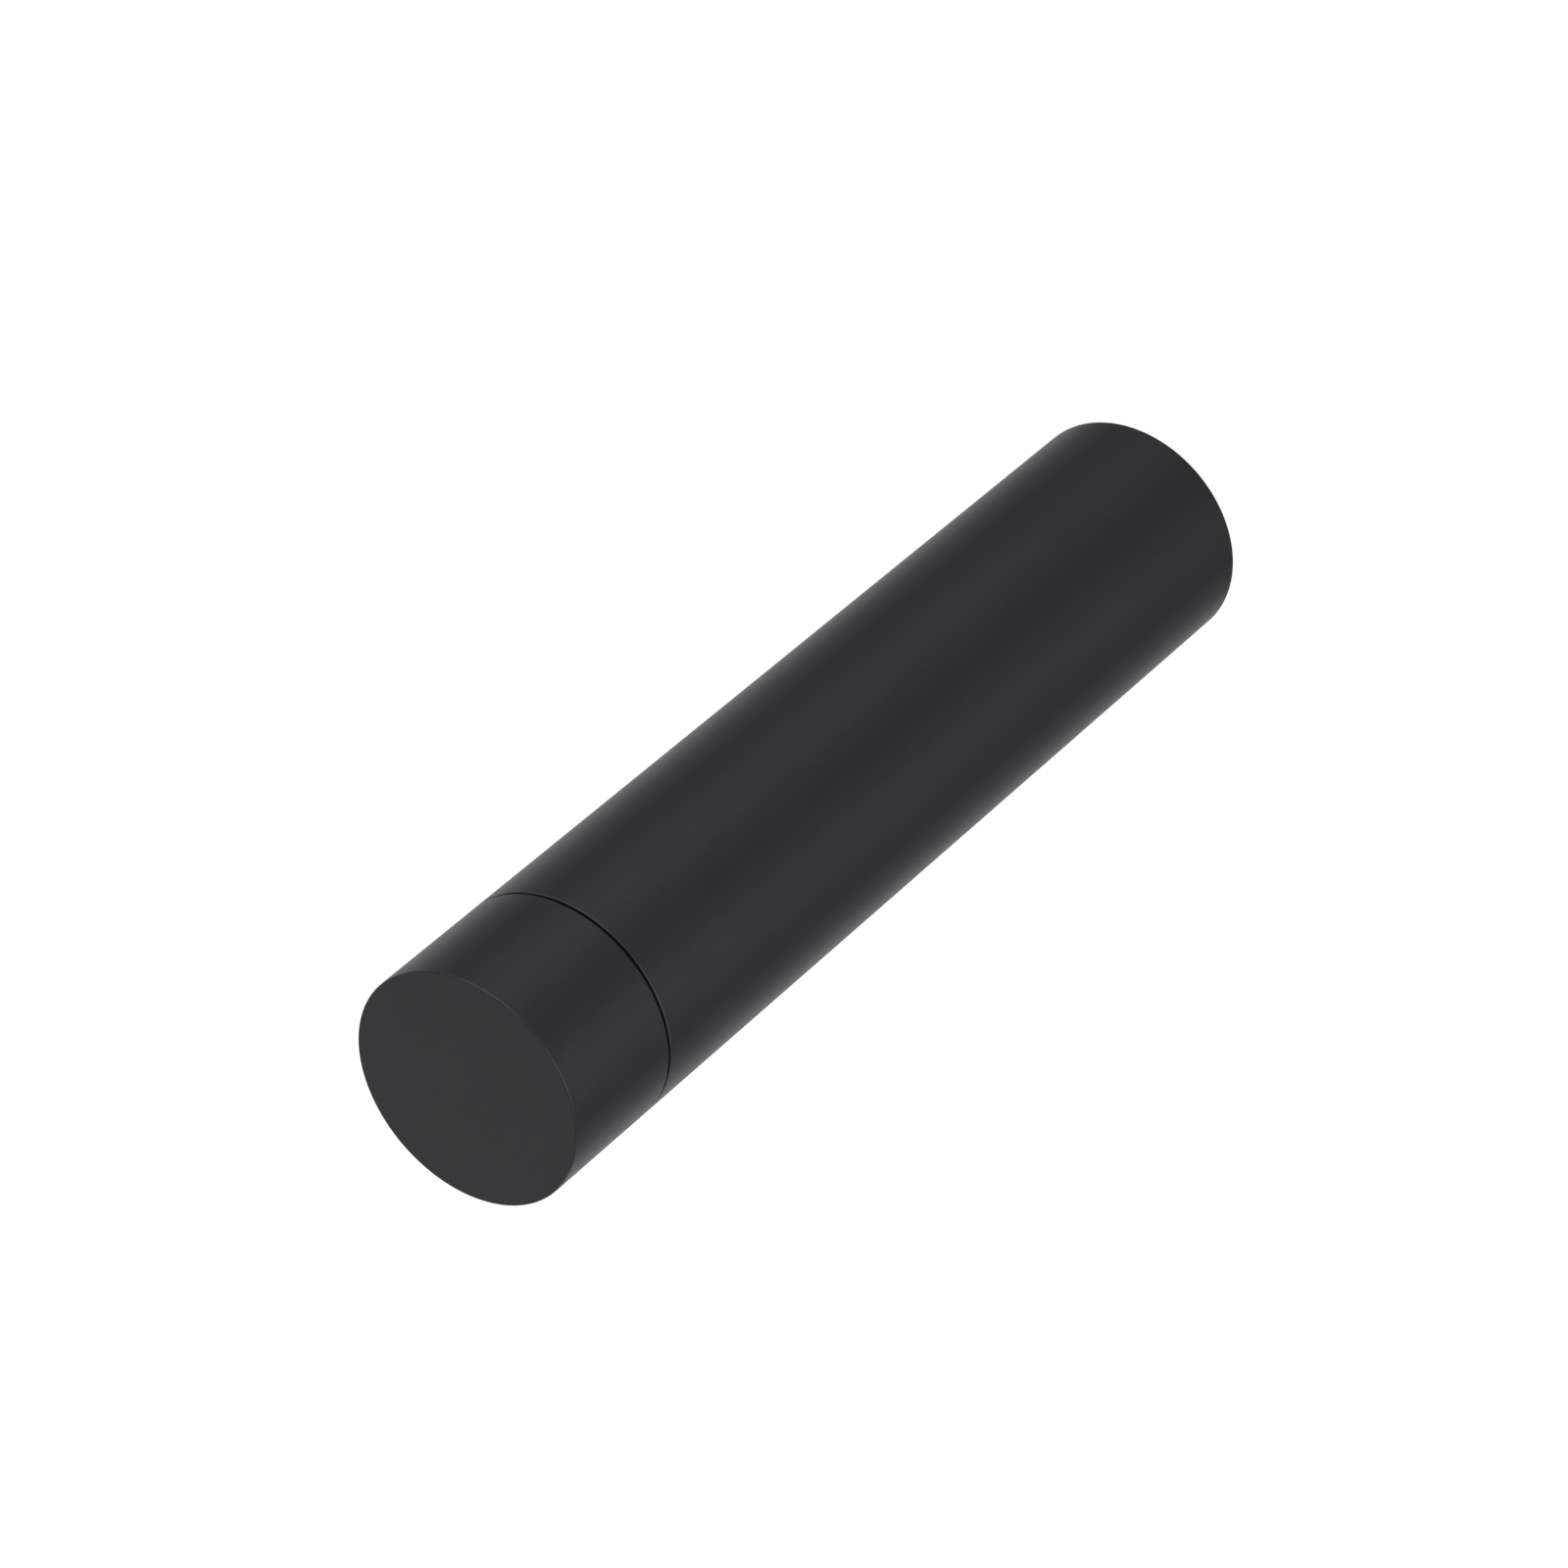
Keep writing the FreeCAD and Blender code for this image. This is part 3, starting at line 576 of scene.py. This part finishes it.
def makeTent(base, boxes):
    # a box's light falls off from its middle as exp(sharpness (cos angle - 1)), the angle counted from
    # its middle
    world = bpy.data.worlds.new("lightTent")
    bpy.context.scene.world = world
    world.use_nodes = True
    tree = world.node_tree
    tree.nodes.clear()
    looking = addNode(tree, "TexCoord").outputs["Generated"]
    total = addNode(tree, "CombineXYZ", {0: base, 1: base, 2: base}).outputs[0]
    for box in boxes.values():
        side, height = math.radians(box["azimuth"]), math.radians(box["height"])
        middle = (math.sin(side) * math.cos(height), -math.cos(side) * math.cos(height), math.sin(height))
        nearness = addNode(tree, "VectorMath", {0: looking, 1: middle}, operation="DOT_PRODUCT")
        nearness = nearness.outputs["Value"]
        power = mathNode(tree, "MULTIPLY_ADD", nearness, boxSharpness, -boxSharpness)
        light = mathNode(tree, "MULTIPLY", mathNode(tree, "EXPONENT", power), box["brightness"])
        tinted = addNode(tree, "VectorMath", {0: boxTint, "Scale": light}, operation="SCALE")
        tinted = tinted.outputs["Vector"]
        total = addNode(tree, "VectorMath", {0: total, 1: tinted}, operation="ADD").outputs["Vector"]
    lit = addNode(tree, "Background", {"Color": total})
    seen = addNode(tree, "Background", {"Color": (1, 1, 1, 1)})
    choice = addNode(tree, "MixShader", {0: addNode(tree, "LightPath").outputs["Is Camera Ray"],
                                         1: lit.outputs[0], 2: seen.outputs[0]})
    addNode(tree, "OutputWorld", {"Surface": choice.outputs[0]})


makeTent(tentBase, softBoxes)

floorSetup = {
    "side": 6.0,            # m
    "glow": 0.93,           # what keeps the paper white
    "shade": 0.30,          # how white the paper is to the tent's own light, which the tube shades a little
}


def makeFloor(setup):
    # a sheet of white paper that only the camera sees, and only from above
    half = setup["side"] / 2
    corners = np.array([(-half, -half, 0), (half, -half, 0), (half, half, 0), (-half, half, 0)])
    floor = meshFrom("studioFloor", corners, np.array([[0, 1, 2, 3]]), np.zeros((0, 3), int), 30)
    material = bpy.data.materials.new("studioPaper")
    material.use_nodes = True
    tree = material.node_tree
    shader = tree.nodes["Principled BSDF"]
    shader.inputs["Base Color"].default_value = (setup["shade"],) * 3 + (1,)
    shader.inputs["Roughness"].default_value = 1.0
    shader.inputs["Specular IOR Level"].default_value = 0.0
    shader.inputs["Emission Color"].default_value = (1, 1, 1, 1)
    shader.inputs["Emission Strength"].default_value = setup["glow"]
    through = addNode(tree, "BsdfTransparent")
    side = addNode(tree, "MixShader", {0: addNode(tree, "NewGeometry").outputs["Backfacing"],
                                       1: shader.outputs[0], 2: through.outputs[0]})
    tree.links.new(side.outputs[0], tree.nodes["Material Output"].inputs["Surface"])
    floor.data.materials.append(material)
    floor.visible_diffuse = floor.visible_glossy = floor.visible_transmission = floor.visible_shadow = False


makeFloor(floorSetup)
bpy.context.scene.view_settings.view_transform = "Standard"
bpy.context.scene.view_settings.look = "None"
print("light tent and floor ready")


sleeveValues = {"wall": 0.8, "bottomRound": 0.15, "mouthRound": 0.15}


def makeSleeve(values):
    outer, low, high = span("body_sleeve")
    bore = outer - values["wall"]
    sleeve = turnedPiece("body_sleeve_shell", [
        (bore, low, 0.08),
        (outer, low, values["bottomRound"]),
        (outer, high, values["mouthRound"]),
        (bore, high, values["mouthRound"]),
    ])
    place(sleeve, "body_sleeve", blackAnodised)


capValues = {"wall": 0.8, "roof": 0.95, "topRound": 0.15, "mouthRound": 0.15, "innerRound": 0.5}


def makeCap(values):
    outer, low, high = span("cap_shell")
    bore = outer - values["wall"]
    cap = turnedPiece("cap_outer_shell", [
        (0, high - values["roof"]),
        (bore, high - values["roof"], values["innerRound"]),
        (bore, low, values["mouthRound"]),
        (outer, low, values["mouthRound"]),
        (outer, high, values["topRound"]),
        (0, high),
    ])
    place(cap, "cap_shell", blackAnodised)


linerValues = {"wall": 1.0, "slip": 0.05, "spigot": 13.95, "leadIn": 0.4, "ribs": 12, "ribHeight": 0.1,
               "ribWidth": 1.2, "ribRise": 6.0, "firstRib": 15.0}


def makeLiner(values):
    # a grip rib is a rise of the bore towards the axis: a smooth step across its width times one along
    # its height
    outer, low, high = span("cap_liner")
    metalLow = span("cap_shell")[1]
    bore = outer - values["wall"] + values["slip"]
    lip = low + values["leadIn"]
    ribTop = low + values["ribRise"]

    def withRibs(radius, height, angle):
        pitch = 2 * math.pi / values["ribs"]
        offset = (angle - math.radians(values["firstRib"]) + pitch / 2) % pitch - pitch / 2
        across = np.clip(1.5 - np.abs(offset) * bore / (values["ribWidth"] / 2), 0, 1)
        onBore = (np.abs(radius - bore) < 0.01) & (height < ribTop + 0.01) & (height > lip + 0.01)
        return radius - values["ribHeight"] * across * onBore

    liner = turnedPiece("cap_inner_liner", [
        (0, high),
        (0, high - values["wall"]),
        (bore, high - values["wall"], 0.6),
        (bore, ribTop + 0.15),
        (bore, ribTop),
        (bore, lip + 0.15),
        (bore, lip),
        (bore + values["leadIn"], low, 0.08),
        (values["spigot"], low, 0.1),
        (values["spigot"], metalLow + values["leadIn"]),
        (outer, metalLow + values["leadIn"], 0.05),
        (outer, high, 0.6),
    ], withRibs)
    place(liner, "cap_liner", plastics["blackMoulding"])


collarValues = {"wall": 0.5, "bore": 10.25, "shoulder": 0.7}


def makeCollar(values):
    outer, low, high = span("shoulder_collar")
    inner = outer - values["wall"]
    collar = turnedPiece("collar_shell", [
        (inner, low, 0.08),
        (outer, low, 0.08),
        (outer, high, values["shoulder"]),
        (values["bore"], high, 0.1),
        (values["bore"], high - values["wall"], 0.1),
        (inner, high - values["wall"], 0.2),
    ])
    place(collar, "shoulder_collar", blackAnodised)


gasketValues = {"bore": 7.6, "round": 0.2}


def makeGasket(values):
    outer, low, high = span("neck_gasket")
    gasket = turnedPiece("neck_gasket_ring", [
        (values["bore"], low, values["round"]),
        (outer, low, values["round"]),
        (outer, high, values["round"]),
        (values["bore"], high, values["round"]),
    ])
    place(gasket, "neck_gasket", gasketCells)


barrelValues = {"bore": 6.5, "outer": 7.5, "flange": 1.2, "floor": 2.2, "inlet": 1.2, "seat": 2.6}


def makeBarrel(values):
    flange, low, high = span("pump_barrel")
    floor = low + values["floor"]
    barrel = turnedPiece("pump_cylinder", [
        (values["inlet"], low, 0.15),
        (values["outer"], low, 0.8),
        (values["outer"], high - values["flange"], 0.1),
        (flange, high - values["flange"], 0.1),
        (flange, high, 0.15),
        (values["bore"], high, 0.1),
        (values["bore"], floor, 0.15),
        (values["seat"], floor, 0.08),
        (values["inlet"], floor - values["seat"] + values["inlet"], 0.08),
    ])
    place(barrel, "pump_barrel", plastics["naturalPump"])


guideValues = {"bore": 2.28, "boss": 3.6, "skirt": 6.45, "skirtWall": 1.0, "flange": 0.6, "rise": 1.4}


def makeGuide(values):
    flange, low, high = span("stem_guide")
    seat = high - values["rise"] - values["flange"]
    inner = values["skirt"] - values["skirtWall"]
    guide = turnedPiece("stem_guide_lid", [
        (values["bore"], low, 0.08),
        (values["boss"], low, 0.2),
        (values["boss"], seat - 0.4, 0.2),
        (inner, seat - 0.4, 0.2),
        (inner, low + 0.4, 0.2),
        (values["skirt"], low + 0.4, 0.2),
        (values["skirt"], seat),
        (flange, seat, 0.08),
        (flange, seat + values["flange"], 0.08),
        (values["boss"], seat + values["flange"], 0.1),
        (values["boss"], high, 0.3),
        (values["bore"], high, 0.2),
    ])
    place(guide, "stem_guide", plastics["naturalPump"])


pistonValues = {"lip": 0.35, "rim": 5.9, "rimInner": 5.2, "hubBore": 2.21, "hub": 3.4, "web": 1.1}


def makeStemPiston(values):
    lip, low, high = span("stem_piston")
    seat = low + 0.7
    piston = turnedPiece("soft_stem_piston", [
        (values["hubBore"], seat, 0.05),
        (values["rimInner"], seat, 0.2),
        (lip - values["lip"], low, 0.05),
        (lip, low, 0.05),
        (values["rim"], seat + 1.0, 0.6),
        (values["rim"], seat + 2.0, 0.6),
        (lip, seat + 3.6, 0.05),
        (lip - values["lip"], seat + 3.6, 0.05),
        (values["rimInner"], seat + values["web"] + 0.6, 0.3),
        (values["rimInner"], seat + values["web"], 0.2),
        (values["hub"], seat + values["web"], 0.2),
        (values["hub"], high, 0.2),
        (values["hubBore"], high, 0.1),
    ])
    place(piston, "stem_piston", plastics["softPiston"])


followerValues = {"cup": 8.4, "wall": 1.1, "rim": 12.3, "underside": 0.8, "lip": 0.6, "waist": 1.6}


def makeFollower(values):
    lip, low, high = span("follower_piston")
    wall, cup, rim = values["wall"], values["cup"], values["rim"]
    floor = low + values["underside"]
    follower = turnedPiece("cup_follower", [
        (0, floor),
        (cup + wall, floor, 0.4),
        (cup + wall, high - wall, 0.3),
        (rim - wall, high - wall, 0.3),
        (rim - wall, low, 0.2),
        (lip, low, 0.1),
        (lip, low + values["lip"], 0.1),
        (rim, low + values["waist"], 0.5),
        (rim, high - values["waist"], 0.5),
        (lip, high - values["lip"], 0.1),
        (lip, high, 0.1),
        (cup, high, 0.3),
        (cup, floor + wall, 0.1),
        (0, floor + wall),
    ])
    place(follower, "follower_piston", plastics["softPiston"])


creamValues = {"clear": 0.05, "cup": 8.3, "barrel": 7.55, "shoulder": 1.0, "neck": 8.4, "ripple": 0.05}


def makeCream(values):
    # the cream is a jacket round the pump's barrel and a core under it. Ripples go inwards only: a share of
    # the ripple depth, from two sines of the turn and the height
    outer, low, high = span("cream_charge")
    followerTop = span("follower_piston")[2]
    barrelLow = span("pump_barrel")[1]

    def rippled(radius, height, angle):
        wave = np.sin(5 * angle + 0.31 * height) * np.sin(0.23 * height - 2 * angle)
        return np.where(radius > 1, radius - values["ripple"] * (0.5 + 0.5 * wave), radius)

    jacketLow, coreHigh = followerTop + values["clear"], barrelLow - values["clear"]
    neckLow = high - 4.5
    jacket = turnedPiece("cream_jacket", [
        (values["barrel"], jacketLow, 0.3),
        (outer, jacketLow, 0.3),
        (outer, jacketLow + 30),
        (outer, jacketLow + 60),
        (outer, neckLow, values["shoulder"]),
        (values["neck"], high, 0.2),
        (values["barrel"], high, 0.1),
        (values["barrel"], jacketLow + 60),
        (values["barrel"], jacketLow + 30),
    ])
    core = turnedPiece("cream_core", [
        (0, low),
        (values["cup"], low, 0.1),
        (values["cup"], followerTop, 0.3),
        (values["barrel"] - values["clear"], followerTop + 0.5, 0.3),
        (values["barrel"] - values["clear"], coreHigh, 0.8),
        (0, coreHigh),
    ], rippled)
    shortened = ((jacket, jacketLow, high, followerTop), (core, low, coreHigh, low - values["clear"]))
    for piece, bottom, top, floor in shortened:
        place(piece, "cream_charge", whiteCream)
        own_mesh(piece)


springValues = {"wire": 0.7, "closedRise": 1.05, "openTurns": 3.5, "perTurn": 48, "around": 20, "grown": 0.98}


def makeSpring(values):
    # a round wire along a coil: a point is the coil's middle line plus the wire's radius times (cos b
    # along the coil's radius + sin b across it). The pitch is closed for one turn, open in the middle,
    # then closed again, and the wire's radius runs out to nothing on a quarter circle at each cut end
    outer, low, high = span("return_spring")
    wire = values["wire"] * values["grown"] / 2
    coil = outer - values["wire"] / 2
    bottom, top = low + values["wire"] / 2, high - values["wire"] / 2
    closed = values["wire"] * values["closedRise"]
    turns = values["openTurns"] + 2
    count = int(turns * values["perTurn"])
    tipRun = 0.35       # steps over which a cut end grows to full thickness
    tip = np.array([0, 0.02, 0.12])
    run = np.linspace(tipRun, count - tipRun, count - 1)
    travelled = np.concatenate([tip, run, count - tip[::-1]])
    turned = travelled / values["perTurn"]
    height = np.interp(turned, [0, 1, turns - 1, turns], [bottom, bottom + closed, top - closed, top])
    angle = turned * 2 * math.pi
    radial = np.stack([np.cos(angle), np.sin(angle), np.zeros(len(angle))], -1)
    middle = coil * radial + np.stack([np.zeros(len(angle)), np.zeros(len(angle)), height], -1)
    along = np.gradient(middle, axis=0)
    along /= np.linalg.norm(along, axis=1, keepdims=True)
    across = np.cross(along, radial)
    fromEnd = np.minimum(travelled, count - travelled) / tipRun
    girth = wire * np.sqrt(np.clip(1 - (1 - np.clip(fromEnd, 0, 1)) ** 2, 0.0004, 1))
    step = np.arange(values["around"])[None, :, None] * 2 * math.pi / values["around"]
    ring = np.cos(step) * radial[:, None] + np.sin(step) * across[:, None]
    verts = (middle[:, None] + girth[:, None, None] * ring).reshape(-1, 3) * mm
    rings, around = len(angle), values["around"]
    quads = gridFaces(rings, around, False)[:, ::-1]
    corner = np.arange(around)
    nextCorner = (corner + 1) % around
    poles = middle[[0, -1]] * mm
    lastRing = (rings - 1) * around
    pole = np.full(around, len(verts))
    tris = np.concatenate([
        np.stack([pole, corner, nextCorner], -1),
        np.stack([pole + 1, lastRing + nextCorner, lastRing + corner], -1)])
    spring = meshFrom("coil_spring", np.concatenate([verts, poles]), quads, tris, 60)
    share = np.repeat(turned / turns, around)
    turnShare = np.tile(corner / around, rings)
    loops = np.minimum(np.concatenate([quads.ravel(), tris.ravel()]), len(share) - 1)
    uv = np.stack([share, turnShare], -1)[loops]
    spring.data.uv_layers.new(name="wire").data.foreach_set("uv", uv.astype(np.float32).ravel())
    place(spring, "return_spring", drawnWire)
    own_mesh(spring)


def makeBall():
    # a sphere: radius R sin t and height -R cos t for t from pole to pole
    outer, low, high = span("inlet_ball")
    share = np.linspace(0, math.pi, 49)
    outline = np.stack([outer * np.sin(share), (low + high) / 2 - outer * np.cos(share), 0 * share], -1)
    outline[[0, -1], 0] = 0
    place(turnedGrid("steel_inlet_ball", outline, 96), "inlet_ball", polishedBall)


tipValues = {"bore": 0.9, "plug": 1.58, "collar": 2.1, "spout": 1.2, "rim": 1.5}


def makeNozzleTip(values):
    # turned about +X: the outline's heights run along the nozzle, and the lay matrix stands them at its
    # place
    low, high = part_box("nozzle_tip")
    start, end = low.x / mm, high.x / mm
    shoulder = end - values["spout"]
    lay = Matrix.Translation((0, 0, (low.z + high.z) / 2)) @ Matrix.Rotation(math.pi / 2, 4, "Y")
    tip = turnedPiece("nozzle_spout", [
        (values["bore"], start, 0.1),
        (values["plug"], start, 0.15),
        (values["plug"], shoulder, 0.05),
        (values["collar"], shoulder, 0.1),
        (values["collar"], shoulder + 0.5, 0.2),
        (values["rim"], end, 0.2),
        (values["bore"], end, 0.1),
    ], lay=lay)
    place(tip, "nozzle_tip", plastics["softNozzle"])


copiedPieces = {
    "base_foot": ("base_plug", "blackMoulding", "black_moulding"),
    "inner_cartridge": ("cream_cartridge", "milkyCartridge", "cartridge_moulding"),
    "collar_carrier": ("collar_insert", "blackMoulding", "black_moulding"),
    "neck_snap_ring": ("neck_closure", "whiteClosure", "closure_moulding"),
    "inlet_cage": ("ball_cage", "naturalPump", "pump_moulding"),
    "hollow_stem": ("pump_stem", "stemMoulding", "stem_moulding"),
    "press_button": ("actuator_button", "satinButton", "button_moulding"),
    "slit_valve": ("outlet_valve", "clearSilicone", "valve_silicone"),
}

makeSleeve(sleeveValues)
makeCap(capValues)
makeLiner(linerValues)
makeCollar(collarValues)
makeGasket(gasketValues)
makeBarrel(barrelValues)
makeGuide(guideValues)
makeStemPiston(pistonValues)
makeFollower(followerValues)
makeCream(creamValues)
makeSpring(springValues)
makeBall()
makeNozzleTip(tipValues)
for name, (node, plastic, slot) in copiedPieces.items():
    place(smoothedCopy(name, node), node, plastics[plastic])
